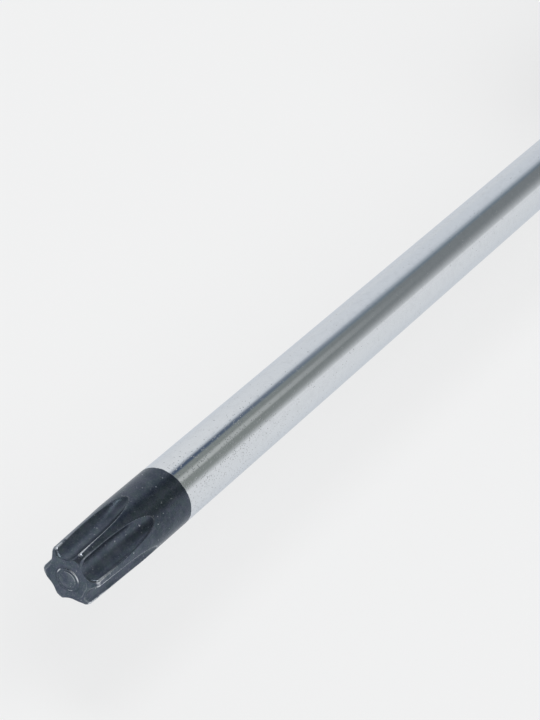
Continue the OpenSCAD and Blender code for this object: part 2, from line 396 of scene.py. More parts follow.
def cut(mesh, cutters):
    """The mesh less its cutters, with the slivers of the cuts welded and sharp edges left crisp."""
    work = bpy.data.objects.new("work", mesh)
    bpy.context.scene.collection.objects.link(work)
    tools = []
    for cutter in cutters:
        tool = bpy.data.objects.new("tool", cutter)
        bpy.context.scene.collection.objects.link(tool)
        tools.append(tool)
        step = work.modifiers.new("cut", "BOOLEAN")
        step.operation = "DIFFERENCE"
        step.solver = "EXACT"
        step.object = tool
    work.modifiers.new("weld", "WELD").merge_threshold = WELD_REACH * MM
    graph = bpy.context.evaluated_depsgraph_get()
    made = bpy.data.meshes.new_from_object(work.evaluated_get(graph))
    for spent in [work, *tools]:
        bpy.data.objects.remove(spent)
    made.shade_smooth()
    made.set_sharp_from_angle(angle=CRISP_ANGLE)
    return made


def piece(name, mesh, slot, *nodes):
    """A finished piece that rides on the tool and stands for its CAD nodes."""
    made = bpy.data.objects.new(name, mesh)
    bpy.context.scene.collection.objects.link(made)
    mesh.materials.clear()
    mesh.materials.append(finishes[slot])
    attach(made, BODY)
    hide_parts(*nodes)


# Blade

def tip_columns():
    """Angles of one turn, as one row, with a density that has a bell where a flute meets a lobe."""
    aside = np.linspace(-FLAT_STEP / 2, FLAT_STEP / 2, CROWDING_SAMPLES)
    density = 1 + FLUTE_EDGE_CROWDING * hump(np.abs(aside), FLUTE_HALF_ANGLE, FLUTE_EDGE_REACH)
    total = np.cumsum(density)
    aside = np.interp(np.linspace(0, total[-1], FLUTE_COLUMNS, endpoint=False), total, aside)
    return (FIRST_FLUTE + column(np.arange(FLATS)) * FLAT_STEP + aside).reshape(1, -1)


def rubbed_side(angle):
    """How far an angle lies on the most rubbed side of the end: a squared cosine, on that half alone."""
    return np.clip(np.cos(angle - RUBBED_SIDE), 0, 1) ** 2


def tip_radius(from_end, angle):
    """Radius of the blade near its end, how worn each point is, and how far it lies in a milled flute.

    A cone narrows the blade to its lobes, six round flutes cut it, a steeper cone chamfers the lobes and a
    plane ends them. The flutes keep one distance from the axis and then rise on the arc of the cutter. A
    point lies on the surface when its distances below these surfaces meet the rule for a round edge: the
    squares of what each distance lacks of the round's radius add up to the square of that radius. The
    radius that does so is found by halving. What each distance lacks then tells edges, crests and corners
    apart. Each is worn by its own share, and the edges as EDGE_WEAR says.
    """
    lobe = np.interp(from_end, [LOBE_STRAIGHT, TAPER_LENGTH], [LOBE_RADIUS, BLADE_RADIUS])
    rise = np.clip(from_end - FLUTE_STRAIGHT, 0, RUNOUT_RADIUS)
    centre = FLUTE_DEPTH_RADIUS + FLUTE_RADIUS + RUNOUT_RADIUS - np.sqrt(RUNOUT_RADIUS**2 - rise**2)
    aside = nearest(angle, FIRST_FLUTE, FLAT_STEP)
    edge_round = np.interp(from_end, EDGE_ROUND_AT, EDGE_ROUND)
    chamfer = END_FACE_RADIUS + from_end / math.tan(CHAMFER_ANGLE)

    def shortfalls(radius):
        to_flute = np.hypot(radius * np.cos(aside) - centre, radius * np.sin(aside)) - FLUTE_RADIUS
        to_chamfer = (chamfer - radius) * math.sin(CHAMFER_ANGLE)
        to_rim = from_end * edge_round / RIM_ROUND + 0 * radius
        return [np.maximum(edge_round - gap, 0) for gap in (to_flute, lobe - radius, to_chamfer, to_rim)]

    inside = np.full(np.broadcast(from_end, angle).shape, FLUTE_DEPTH_RADIUS / 2)
    outside = np.full(inside.shape, 2 * BLADE_RADIUS - LOBE_RADIUS)
    for _ in range(RADIUS_HALVINGS):
        middle = (inside + outside) / 2
        solid = sum(lack**2 for lack in shortfalls(middle)) < edge_round**2
        inside = np.where(solid, middle, inside)
        outside = np.where(solid, outside, middle)

    flute, crest, end, rim = (lack / edge_round for lack in shortfalls(inside))
    number = np.round((angle - FIRST_FLUTE) / FLAT_STEP).astype(int) % FLATS
    along_edge = np.where(aside < 0, EDGE_WEAR[number, 0], EDGE_WEAR[number, 2])
    at_end = np.where(aside < 0, EDGE_WEAR[number, 1], EDGE_WEAR[number, 3])
    along_edge = along_edge * np.interp(from_end, RUNOUT_AT, RUNOUT_FADE)
    at_runout = np.interp(from_end, RUNOUT_AT, RUNOUT_WEAR)
    on_edge = 2 * flute * crest
    wear_and_shade = on_edge * (along_edge + at_runout + at_end * hump(from_end, 0, END_WEAR_REACH))
    wear_and_shade = wear_and_shade + (CORNER_WEAR * on_edge + LOBE_END_WEAR * crest) * end * at_end
    wear_and_shade = wear_and_shade + end * (FLUTE_END_WEAR * flute + RUBBED_END_WEAR * rubbed_side(angle))
    wear_and_shade = wear_and_shade + crest * np.interp(from_end, CREST_WEAR_AT, CREST_WEAR)
    milled = flute * (1 - end) * np.clip(1 - rim, 0, 1)
    return inside, np.clip(wear_and_shade, 0, 1), milled


def face_relief(radius, angle):
    """How far the turned middle of the end face stands up from the rest, and how worn it is.

    A low boss falls off on a logistic curve at its lip. Bells across the radius make a groove inside the
    lip and a trench round its foot. A shelf inside the groove lies between two logistic curves, with a
    ridge near its rim. The lip is rubbed bright where LIP_MARKS says, and the ridge on the side of the
    first mark. The trench gets a negative value, which the finish turns into painted shade.
    """
    boss = falling(radius, BOSS_RADIUS, BOSS_EDGE)
    groove = hump(radius, RING_GROOVE_RADIUS, RING_GROOVE_REACH)
    shelf = falling(radius, SHELF_RADIUS, SHELF_EDGE) - falling(radius, SHELF_RADIUS / 2, SHELF_INNER_EDGE)
    ridge = hump(radius, SHELF_RADIUS - RIDGE_INSET, RIDGE_REACH)
    lip = hump(radius, BOSS_RADIUS, LIP_REACH)
    trench = hump(radius, BOSS_RADIUS + TRENCH_OFFSET, TRENCH_REACH)
    rubbed = LIP_WEAR
    for degrees, half_width, strength in LIP_MARKS:
        aside = nearest(angle, math.radians(degrees), 2 * math.pi)
        rubbed = rubbed + strength * np.exp(-((aside / math.radians(half_width)) ** MARK_SQUARENESS))
    one_side = (1 + np.cos(angle - math.radians(LIP_MARKS[0][0]))) / 2
    height = BOSS_HEIGHT * boss - FACE_SINK - RING_GROOVE_DEPTH * groove
    height = height + SHELF_HEIGHT * shelf + RIDGE_HEIGHT * ridge - TRENCH_DEPTH * trench
    # Wear is positive, and the trench is negative: painted shade
    wear_and_shade = lip * rubbed + SHELF_WEAR * shelf + RIDGE_WEAR * ridge * one_side**2 - TRENCH_PAINTED_SHADE * trench
    return height, wear_and_shade


def blade_mesh():
    """The blade as rings from the tang's end to the tip, and on across the end face to its middle.

    The end is cut slightly out of square: its points are moved along the blade as on a leaning plane.
    """
    angle = tip_columns()
    groove_start = NOSE_END - GROOVE_WIDTH
    stations, radii, wears_and_shades, millings = [], [], [], []

    def rings(along, radius, wear_and_shade=0.0, milled=0.0):
        grid = np.broadcast_arrays(along, radius, wear_and_shade, milled, angle)
        for rows, added in zip((stations, radii, wears_and_shades, millings), grid):
            rows.append(added)

    def tip_station(from_end, radius):
        lean = FACE_TILT * radius * np.cos(angle - FACE_LEAN)
        return TIP_END - FACE_DEPTH - from_end - lean * np.clip(1 - from_end / TILT_LENGTH, 0, 1)

    rings(TANG_END, BLADE_RADIUS - TANG_CHAMFER)
    rings(TANG_END + TANG_CHAMFER, BLADE_RADIUS)
    for turn, inset in enumerate(WING_INSETS):
        start = TANG_END + inset
        bar = bar_radius(angle, math.pi / 2 * (1 + turn), WING_HALF_SPAN, WING_HALF_THICKNESS)
        rings(start, BLADE_RADIUS)
        rings(column([start + FIT_GAP, start + WING_LENGTH - FIT_GAP]), np.maximum(BLADE_RADIUS, bar))
        rings(start + WING_LENGTH, BLADE_RADIUS)
    rings(groove_start, BLADE_RADIUS)
    rings(column([groove_start, NOSE_END]), GROOVE_RADIUS)
    rings(NOSE_END, BLADE_RADIUS)
    rings(column(np.linspace(NOSE_END + FIT_GAP, TIP_END - SHAFT_RINGS_END, SHAFT_RINGS)), BLADE_RADIUS)
    at_flutes = np.linspace(FLUTE_RINGS_FROM, FLUTE_RINGS_TO, FLUTE_RINGS)
    at_chamfer = CHAMFER_RINGS_FROM * np.linspace(1, CHAMFER_LAST_SHARE, CHAMFER_RINGS) ** CHAMFER_CROWDING
    from_end = column(np.concatenate([at_flutes, at_chamfer]))
    radius, wear_and_shade, milled = tip_radius(from_end, angle)
    rings(tip_station(from_end, radius), radius, wear_and_shade, milled)
    share = column(np.linspace(*FACE_SHARES, FACE_RINGS))
    across = share * radius[-1:]
    height, face_wear_and_shade = face_relief(across, angle)
    rim_wear = FACE_RIM_WEAR * hump(share, 1, FACE_RIM_REACH) * rubbed_side(angle)
    rings(tip_station(0.0, across) + height, across, face_wear_and_shade + rim_wear)

    points = place(np.vstack(stations), np.vstack(radii), angle)
    middle = TIP_END - FACE_DEPTH + face_relief(0.0, 0.0)[0]
    mesh = ring_mesh("blade_shape", points, poles=[place(TANG_END, 0, 0), place(middle, 0, 0)])
    # The mesh holds wear, and painted shade in the trench where the value is negative
    for name, rows in (("wear_and_shade", wears_and_shades), ("milled", millings)):
        layer = mesh.attributes.new(name, "FLOAT", "POINT")
        layer.data.foreach_set("value", np.append(np.vstack(rows).ravel(), [0, 0]).astype(np.float32))
    return mesh


# Handle

def barrel_radius(along):
    """The barrel swells as a shallow parabola about its middle."""
    share = (along - BARREL_MIDDLE) / BARREL_HALF_LENGTH
    return BARREL_RADIUS - (BARREL_RADIUS - BARREL_END_RADIUS) * share**2


def grip_radius(along):
    """The finger grip falls from the barrel to its waist on a cosine and climbs to the flange on one."""
    share = 2 * (along - BARREL_END) / (FLANGE_START - BARREL_END)
    foot = np.where(share < 1, BARREL_END_RADIUS, FLANGE_RADIUS)
    return WAIST_RADIUS + (foot - WAIST_RADIUS) * (1 + np.cos(math.pi * share)) / 2


def nose_radius(along):
    """The nose falls to the blade as a power of the way along it, with a parabola as fillet at the flange."""
    share = np.clip((along - FLANGE_END) / (NOSE_END - FLANGE_END), 0, 1)
    fillet = NOSE_FILLET * np.clip(1 - (along - FLANGE_END) / NOSE_FILLET, 0, 1) ** 2
    return NOSE_ROOT_RADIUS - (NOSE_ROOT_RADIUS - NOSE_RADIUS) * share**NOSE_FULLNESS + fillet


def core_seat_radius(angle):
    """The bore for the core: a circle joined with one bar for each pair of keys."""
    bore = np.full(angle.shape, CORE_RADIUS + FIT_GAP)
    key_reach = CORE_RADIUS + KEY_HEIGHT + FIT_GAP
    for turn in range(CORE_KEYS // 2):
        bar = bar_radius(angle, turn * math.pi / 2, key_reach, KEY_HALF_WIDTH + FIT_GAP)
        bore = np.maximum(bore, bar)
    return bore


def flatted(along, radius, angle, end_round):
    """An outline that meets the six flats in a soft edge and falls away in a quarter round at both ends."""
    from_ends = np.minimum(along - along[0], along[-1] - along)
    return soft_min(radius, flat_radius(angle), FLAT_ROUND) - edge_drop(from_ends, end_round)


def handle_body_mesh():
    """The body as one closed loop of rings: barrel, neck, flange and nose, then back through the bore.

    Outside, the outline's radius and the six flats meet in a soft edge, and the pads' pockets are cut last.
    """
    angle = turns(BODY_COLUMNS)
    barrel = eased(BARREL_START, BARREL_END, BARREL_RINGS)
    flange = eased(FLANGE_START, FLANGE_END, FLANGE_RINGS)
    nose = eased(FLANGE_END, NOSE_END, NOSE_RINGS)
    groove_start = NOSE_END - GROOVE_WIDTH - FIT_GAP
    seat = SPIGOT_RADIUS + FIT_GAP
    points = stretches(
        angle,
        (barrel, flatted(barrel, barrel_radius(barrel), angle, SEAM_ROUND)),
        (np.linspace(BARREL_END, FLANGE_START, NECK_RINGS), flat_radius(angle, NECK_APOTHEM)),
        (flange, flatted(flange, FLANGE_RADIUS, angle, SEAM_ROUND)),
        (nose, nose_radius(nose) - edge_drop(NOSE_END - nose, NOSE_END_ROUND)),
        ([NOSE_END, groove_start], GROOVE_RADIUS + FIT_GAP),
        ([groove_start, CORE_END], BLADE_RADIUS + FIT_GAP),
        ([CORE_END, CORE_START], core_seat_radius(angle)),
        ([CORE_START, BEAD_STATION + BEAD_LENGTH / 2], seat),
        ([BEAD_STATION], seat + BEAD_HEIGHT),
        ([BEAD_STATION - BEAD_LENGTH / 2, BARREL_START], seat),
    )
    pockets = [pad_mesh(index, FIT_GAP, POCKET_RISE) for index in range(FLATS)]
    return cut(ring_mesh("handle_body_shape", points, loop=True), pockets)


def finger_grip_mesh():
    """The sleeve as one closed loop of rings: finger grooves outside, and a hexagon bore inside."""
    angle = turns(GRIP_COLUMNS)
    along = eased(GRIP_START, GRIP_END, GRIP_RINGS)
    outline = flatted(along, grip_radius(along), angle, GRIP_END_ROUND)
    for ring in range(RINGS):
        middle = (GRIP_START + GRIP_END) / 2 + (ring - (RINGS - 1) / 2) * RING_PITCH
        outline = outline - RING_DEPTH * groove_share(along - middle, RING_WIDTH)
    bore = flat_radius(angle, NECK_APOTHEM + FIT_GAP)
    points = stretches(angle, (along, outline), ([GRIP_END, GRIP_START], bore))
    return ring_mesh("finger_grip_shape", points, loop=True)


def oval_half_width(share, half_width):
    """Half width of a pad at a share of its half length: an oval between an ellipse and a rectangle."""
    return half_width * np.clip(1 - np.abs(share) ** PAD_ROUNDNESS, 0, 1) ** (1 / PAD_ROUNDNESS)


def squared(wave):
    """A sine or cosine bent towards a square wave by a power below one."""
    return np.sign(wave) * np.abs(wave) ** PAD_SQUARENESS


def pad_mesh(index, gap=0.0, rise=0.0):
    """A palm pad on one flat, or its pocket where gap widens it and rise lifts its top out of the flat.

    Rings run along the pad. Each is a rounded rectangle as wide as the oval is there and as high as the
    pad, less the cross groove that the ring lies in.
    """
    middle = (PAD_END + PAD_START) / 2
    reach = (PAD_END - PAD_START) / 2 + gap
    share = column(np.sin(np.linspace(-math.pi / 2, math.pi / 2, PAD_RINGS))[1:-1])
    along = share * reach
    bottom = APOTHEM - PAD_SINK - PAD_THICKNESS - gap
    top = np.full(along.shape, APOTHEM - PAD_SINK + rise)
    if not rise:
        groove = PAD_GROOVE_DEPTH * groove_share(nearest(along, 0, PAD_GROOVE_PITCH), PAD_GROOVE_WIDTH)
        top = top - groove - edge_drop(reach - np.abs(along), PAD_END_ROUND)
    turn = turns(PAD_COLUMNS)
    lateral = oval_half_width(share, PAD_HALF_WIDTH + gap) * squared(np.cos(turn))
    height = bottom + (top - bottom) * (1 + squared(np.sin(turn))) / 2
    facing = FIRST_FLAT + index * FLAT_STEP
    points = place(middle + along, np.hypot(lateral, height), facing + np.arctan2(-lateral, height))
    end_heights = (top[[0, -1], 0] + bottom) / 2
    ends = place(middle + np.array([-reach, reach]), end_heights, facing)
    return ring_mesh("palm_pad_shape", points, poles=ends)


# End cap and disc

def dome_radius(along):
    """The cap's outline: a quarter of an ellipse from the butt to the barrel."""
    share = np.clip(1 - along / BARREL_START, 0, 1)
    return BUTT_RADIUS + (BARREL_END_RADIUS - BUTT_RADIUS) * np.sqrt(1 - share**2)


def hang_hole_mesh():
    """The space of the hang hole: a spool across the cap, straight in the middle and flared at its ends."""
    flare = np.linspace(*FLARE_RINGS_AT, FLARE_RINGS)
    across = column(np.concatenate([[-HANG_HOLE_HALF_CUT], -flare[::-1], flare, [HANG_HOLE_HALF_CUT]]))
    radius = HANG_HOLE_RADIUS + FLARE_SLOPE * np.maximum(np.abs(across) - HANG_HOLE_HALF_LAND, 0)
    turn = turns(HANG_HOLE_COLUMNS)
    middle_x = cad_low.x + HANG_HOLE_STATION * MM
    x = middle_x - radius * np.cos(turn) * MM
    z = AXIS_Z + radius * np.sin(turn) * MM
    points = np.stack(np.broadcast_arrays(x, across * MM, z), -1)
    poles = [(middle_x, y * MM, AXIS_Z) for y in (-HANG_HOLE_HALF_CUT, HANG_HOLE_HALF_CUT)]
    return ring_mesh("hang_hole_shape", points, poles=poles)


def end_cap_mesh():
    """The cap as rings from the floor of the disc's seat, over the butt and the dome, to its spigot's end."""
    angle = turns(CAP_COLUMNS)
    seat_floor = DISC_BACK + FIT_GAP
    seat_radius = DISC_RADIUS + FIT_GAP
    dome_end = BARREL_START - FIT_GAP
    dome = column(dome_end * np.linspace(DOME_FIRST_SHARE, 1, DOME_RINGS) ** 2)
    outline = soft_min(dome_radius(dome), flat_radius(angle), FLAT_ROUND)
    outline = outline - edge_drop(dome_end - dome, SEAM_ROUND)
    points = stretches(
        angle,
        ([seat_floor, SEAT_LIP], seat_radius),
        ([0.0], seat_radius + SEAT_LIP),
        ([0.0], BUTT_RADIUS - BUTT_EDGE),
        (dome, outline),
        ([dome_end, BEAD_STATION - BEAD_LENGTH / 2], SPIGOT_RADIUS),
        ([BEAD_STATION], SPIGOT_RADIUS + BEAD_HEIGHT),
        ([BEAD_STATION + BEAD_LENGTH / 2, SPIGOT_END - SEAM_ROUND], SPIGOT_RADIUS),
        ([SPIGOT_END], SPIGOT_RADIUS - SEAM_ROUND),
    )
    poles = [place(seat_floor, 0, 0), place(SPIGOT_END, 0, 0)]
    return cut(ring_mesh("end_cap_shape", points, poles=poles), [hang_hole_mesh()])


def size_disc_mesh():
    """The bare disc as rings from the middle of its face, over a groove and a round rim, to its back."""
    turn = np.linspace(0, math.pi / 2, DISC_RIM_RINGS)[1:]
    face = np.linspace(DISC_FIRST_SHARE, 1, DISC_FACE_RINGS) * (DISC_RADIUS - DISC_RIM)
    groove = DISC_RING_DEPTH * hump(face, DISC_RING_RADIUS, DISC_RING_REACH)
    along = np.concatenate([DISC_FACE + groove, DISC_FACE + DISC_RIM * (1 - np.cos(turn)), [DISC_BACK]])
    radius = np.concatenate([face, DISC_RADIUS - DISC_RIM + DISC_RIM * np.sin(turn), [DISC_RADIUS]])
    points = place(column(along), column(radius), turns(DISC_COLUMNS))
    return ring_mesh("size_disc_shape", points, poles=[place(DISC_FACE, 0, 0), place(DISC_BACK, 0, 0)])


# Finishes

def colour(red, green, blue):
    """An opaque colour."""
    return (red, green, blue, 1.0)


def grey(value):
    """An opaque neutral colour."""
    return colour(value, value, value)


# Noise: features to the metre, octaves of detail, and how much the fine ones count
GRAIN_NOISE = (6000, 3, 0.7)
CLOUD_NOISE = (1300, 4, 0.65)
PATCH_NOISE = (900, 4, 0.6)
DUST_NOISE = (5200, 3, 0.7)
HUE_NOISE = (1700, 2, 0.5)
SCUFF_NOISE = (1500, 4, 0.65)
SPECK_NOISE = (3700, 1, 0.5)
EDGE_NOISE = (2600, 3, 0.5)
MOULDED_PATCH_NOISE = (90, 5, 0.6)
MOULDED_GRAIN_DETAIL = (3, 0.6)

# Bright plating, with distances in millimetres. A step gives the values where it starts and ends, and then
# its low and high where these aren't 0 and 1.
PLATING_DEEP = colour(0.67, 0.70, 0.735)
PLATING_PALE = colour(0.75, 0.78, 0.81)
PLATING_CLOUD = colour(0.44, 0.46, 0.49)
PLATING_CLOUD_STEP = (0.45, 0.75, 0.0, 0.14)
PLATING_ROUGHNESS = (0.06, 0.13)
PLATING_GRAIN_HEIGHT = 0.03
PLATING_EDGE_TINT = colour(0.80, 0.83, 0.87)
PIT_CELLS = 5600
PIT_NEAR_DIP = (40.0, 14.0)
PIT_SIDE = (-0.5, 2.0, 0.12, 1.0)
PIT_RARITY = 0.93
PIT_GAIN = 0.6
PIT_CHANCE_STEP = (0.0, 0.05)
PIT_WIDTH_STEP = (0.38, 0.1)
PIT_SHADE = grey(0.3)
PIT_SHARE = 0.65

# Black dip, with distances in millimetres
BLACK_DEEP = (colour(0.059, 0.081, 0.104), colour(0.062, 0.077, 0.111))
BLACK_PALE = (colour(0.098, 0.129, 0.149), colour(0.109, 0.123, 0.167))
BLACK_HUE_STEP = (0.35, 0.65)
BLACK_PATCH_STEP = (0.3, 0.7)
BLACK_ROUGHNESS = (0.22, 0.32)
BLACK_METALLIC = 0.95
DUST_SHADE = colour(0.15, 0.165, 0.19)
DUST_STEP = (0.5, 0.75)
DUST_HEIGHT = 0.35
DULLED_AT = (8.0, 3.0)
DULLED_SHADE = colour(0.28, 0.32, 0.37)
DULLED_SHARE = 0.05
DULLED_ROUGHNESS = 0.4
DARKENED_AT = (4.0, 10.0, 0.0, 0.3)
DARKENED_SHADE = colour(0.01, 0.013, 0.016)
BLACK_PITS_AT = (6.0, 9.0, 0.0, 0.5)
# Painted shade where the mesh's value is negative, which is in the trench round the boss: the step and the
# dark colour
PAINTED_SHADE_STEP = (0.0, -0.6)
PAINTED_SHADE_COLOUR = colour(0.02, 0.024, 0.034)
SCUFF_STEP = (0.2, 0.55)
WORN_STEP = (0.08, 0.75)
WORN_SHADE = colour(0.62, 0.65, 0.69)
SPECK_STEP = (0.735, 0.77)
SPECK_SHARE = 0.5
DIP_EDGE_RAGGED = 0.16
DIP_EDGE_STEP = (-0.02, 0.03)
STEEL_BUMP = 0.012

# Moulded finishes: two near shades, roughness from smooth to rough, grain to the metre, and its depth
MOULDED = {
    "body_plastic": (colour(0.032, 0.037, 0.044), colour(0.040, 0.046, 0.053), (0.26, 0.42), 2600, 0.03),
    "soft_grip": (colour(0.010, 0.010, 0.011), colour(0.016, 0.016, 0.017), (0.5, 0.72), 3800, 0.03),
    "cap_plastic": (colour(0.165, 0.18, 0.195), colour(0.195, 0.21, 0.225), (0.26, 0.42), 2600, 0.03),
    "disc_plastic": (colour(0.014, 0.015, 0.017), colour(0.02, 0.021, 0.023), (0.18, 0.3), 2000, 0.01),
    "core_plastic": (colour(0.32, 0.33, 0.34), colour(0.37, 0.38, 0.39), (0.4, 0.55), 2200, 0.03),
}
MOULDED_PATCH_STEP = (0.35, 0.65)
MOULDED_BUMP = 0.6


def add(tree, kind, inputs=None, **settings):
    """A node of that kind with its settings. Each input is a value or another node's output."""
    made = tree.nodes.new(kind)
    for name, value in settings.items():
        setattr(made, name, value)
    for name, value in (inputs or {}).items():
        if isinstance(value, bpy.types.NodeSocket):
            tree.links.new(value, made.inputs[name])
        else:
            made.inputs[name].default_value = value
    return made


def math_node(tree, operation, first, second=0.0, third=0.0):
    """The result of one sum on two or three values."""
    return add(tree, "ShaderNodeMath", {0: first, 1: second, 2: third}, operation=operation).outputs[0]


def step_node(tree, value, start, end, low=0.0, high=1.0):
    """A smooth step from low to high as the value goes from start to end."""
    inputs = {"Value": value, "From Min": start, "From Max": end, "To Min": low, "To Max": high}
    return add(tree, "ShaderNodeMapRange", inputs, interpolation_type="SMOOTHSTEP").outputs[0]


def noise_node(tree, where, scale, detail, roughness):
    """Noise with that many features to the metre."""
    inputs = {"Vector": where, "Scale": scale, "Detail": detail, "Roughness": roughness}
    return add(tree, "ShaderNodeTexNoise", inputs).outputs[0]


def mix_colour(tree, share, first, second):
    """The first colour turning into the second as the share goes from 0 to 1."""
    return add(tree, "ShaderNodeMix", {0: share, 6: first, 7: second}, data_type="RGBA").outputs[2]


def mix_value(tree, share, first, second):
    """The first value turning into the second as the share goes from 0 to 1."""
    return add(tree, "ShaderNodeMix", {0: share, 2: first, 3: second}, data_type="FLOAT").outputs[0]


def attribute(tree, name):
    """A value that the mesh holds at its points."""
    return add(tree, "ShaderNodeAttribute", attribute_name=name).outputs["Fac"]


def new_finish(name):
    """An empty finish: its node tree, its shader and the piece's own coordinates."""
    made = bpy.data.materials.new(name)
    made.use_nodes = True
    tree = made.node_tree
    shader = tree.nodes["Principled BSDF"]
    where = tree.nodes.new("ShaderNodeTexCoord").outputs["Object"]
    return made, tree, shader, where


def bright_plating(tree, where, from_end, aside):
    """Colour, roughness, height and pits of the bright plating.

    It has fine grain and faint clouds. A pit may lie in each cell of a scatter, and the cells' own colours
    give the chance of it: pits lie thickest on one side near the black dip and thin out along the blade.
    """
    grain = noise_node(tree, where, *GRAIN_NOISE)
    cells = add(tree, "ShaderNodeTexVoronoi", {"Vector": where, "Scale": PIT_CELLS})
    chance = add(tree, "ShaderNodeSeparateColor", {0: cells.outputs["Color"]}).outputs[0]
    near_dip = step_node(tree, from_end, *PIT_NEAR_DIP)
    thick = math_node(tree, "MULTIPLY", near_dip, step_node(tree, aside, *PIT_SIDE))
    rarity = math_node(tree, "MULTIPLY_ADD", thick, -PIT_GAIN, PIT_RARITY)
    taken = step_node(tree, math_node(tree, "SUBTRACT", chance, rarity), *PIT_CHANCE_STEP)
    pits = math_node(tree, "MULTIPLY", step_node(tree, cells.outputs["Distance"], *PIT_WIDTH_STEP), taken)
    shade = mix_colour(tree, grain, PLATING_DEEP, PLATING_PALE)
    cloud = step_node(tree, noise_node(tree, where, *CLOUD_NOISE), *PLATING_CLOUD_STEP)
    shade = mix_colour(tree, cloud, shade, PLATING_CLOUD)
    shade = mix_colour(tree, math_node(tree, "MULTIPLY", pits, PIT_SHARE), shade, PIT_SHADE)
    rough = mix_value(tree, grain, *PLATING_ROUGHNESS)
    height = math_node(tree, "SUBTRACT", math_node(tree, "MULTIPLY", grain, PLATING_GRAIN_HEIGHT), pits)
    return shade, rough, height, pits


def black_dip(tree, where, from_end, pits):
    """Colour, roughness, height and wear of the black dip.

    It is mottled and dusty, a little paler and duller in the milled flutes near the end, and darker and
    pitted towards the plating. Where the mesh has wear it is scuffed to the steel, where the value is
    negative it takes painted shade, and a few bright specks lie all over it.
    """
    patch = noise_node(tree, where, *PATCH_NOISE)
    dust = noise_node(tree, where, *DUST_NOISE)
    hue = step_node(tree, noise_node(tree, where, *HUE_NOISE), *BLACK_HUE_STEP)
    deep = mix_colour(tree, hue, *BLACK_DEEP)
    pale = mix_colour(tree, hue, *BLACK_PALE)
    shade = mix_colour(tree, step_node(tree, patch, *BLACK_PATCH_STEP), deep, pale)
    shade = mix_colour(tree, step_node(tree, dust, *DUST_STEP), shade, DUST_SHADE)
    dulled = math_node(tree, "MULTIPLY", attribute(tree, "milled"), step_node(tree, from_end, *DULLED_AT))
    shade = mix_colour(tree, math_node(tree, "MULTIPLY", dulled, DULLED_SHARE), shade, DULLED_SHADE)
    shade = mix_colour(tree, step_node(tree, from_end, *DARKENED_AT), shade, DARKENED_SHADE)
    pitted = math_node(tree, "MULTIPLY", pits, step_node(tree, from_end, *BLACK_PITS_AT))
    shade = mix_colour(tree, pitted, shade, DARKENED_SHADE)
    wear_and_shade = attribute(tree, "wear_and_shade")
    # Painted shade where the value is negative, in the trench round the boss
    shade = mix_colour(tree, step_node(tree, wear_and_shade, *PAINTED_SHADE_STEP), shade, PAINTED_SHADE_COLOUR)
    scuffed = step_node(tree, noise_node(tree, where, *SCUFF_NOISE), *SCUFF_STEP)
    worn = step_node(tree, math_node(tree, "MULTIPLY", wear_and_shade, scuffed), *WORN_STEP)
    specks = step_node(tree, noise_node(tree, where, *SPECK_NOISE), *SPECK_STEP)
    worn = math_node(tree, "MAXIMUM", worn, math_node(tree, "MULTIPLY", specks, SPECK_SHARE))
    shade = mix_colour(tree, worn, shade, WORN_SHADE)
    rough = mix_value(tree, dulled, mix_value(tree, patch, *BLACK_ROUGHNESS), DULLED_ROUGHNESS)
    height = math_node(tree, "ADD", patch, math_node(tree, "MULTIPLY", dust, DUST_HEIGHT))
    return shade, rough, height, worn


def plated_steel():
    """Bright plating and a blackened tip that meet in a slightly ragged edge."""
    made, tree, shader, where = new_finish("plated_steel")
    x, y, _ = add(tree, "ShaderNodeSeparateXYZ", {0: where}).outputs
    from_end = math_node(tree, "DIVIDE", math_node(tree, "SUBTRACT", cad_high.x - FACE_DEPTH * MM, x), MM)
    aside = math_node(tree, "DIVIDE", y, MM)
    ragged = noise_node(tree, where, *EDGE_NOISE)
    edge = math_node(tree, "MULTIPLY_ADD", ragged, DIP_EDGE_RAGGED, BLACK_LENGTH - DIP_EDGE_RAGGED / 2)
    plated = step_node(tree, math_node(tree, "SUBTRACT", from_end, edge), *DIP_EDGE_STEP)
    bright, bright_rough, bright_height, pits = bright_plating(tree, where, from_end, aside)
    black, black_rough, black_height, worn = black_dip(tree, where, from_end, pits)
    bare = math_node(tree, "MAXIMUM", plated, worn)
    tree.links.new(mix_colour(tree, plated, black, bright), shader.inputs["Base Color"])
    tree.links.new(mix_value(tree, bare, BLACK_METALLIC, 1.0), shader.inputs["Metallic"])
    tree.links.new(mix_value(tree, plated, black_rough, bright_rough), shader.inputs["Roughness"])
    shader.inputs["Specular Tint"].default_value = PLATING_EDGE_TINT
    height = mix_value(tree, plated, black_height, bright_height)
    bump = add(tree, "ShaderNodeBump", {"Strength": 1.0, "Distance": STEEL_BUMP * MM, "Height": height})
    tree.links.new(bump.outputs[0], shader.inputs["Normal"])
    return made


def moulded(name, dark, light, roughness, grain_scale, grain_depth):
    """A moulded plastic or rubber: two near shades in soft patches, and a grain that dulls and pits it."""
    made, tree, shader, where = new_finish(name)
    patch = step_node(tree, noise_node(tree, where, *MOULDED_PATCH_NOISE), *MOULDED_PATCH_STEP)
    grain = noise_node(tree, where, grain_scale, *MOULDED_GRAIN_DETAIL)
    tree.links.new(mix_colour(tree, patch, dark, light), shader.inputs["Base Color"])
    tree.links.new(mix_value(tree, grain, *roughness), shader.inputs["Roughness"])
    inputs = {"Strength": MOULDED_BUMP, "Distance": grain_depth * MM, "Height": grain}
    bump = add(tree, "ShaderNodeBump", inputs)
    tree.links.new(bump.outputs[0], shader.inputs["Normal"])
    return made


# Stage

FLOOR_SHADE = 0.866
FLOOR_GLOW = 0.7
FLOOR_HALF = 4.0
KEY_DIRECTION = (0.05, 0.63, 0.77)
KEY_ANGLE = math.radians(60)
KEY_STRENGTH = 2.08
OVERHEAD_DIRECTION = (0, 0, 1)
OVERHEAD_ANGLE = math.radians(24)
OVERHEAD_STRENGTH = 0.56
FULL_TURN = 360

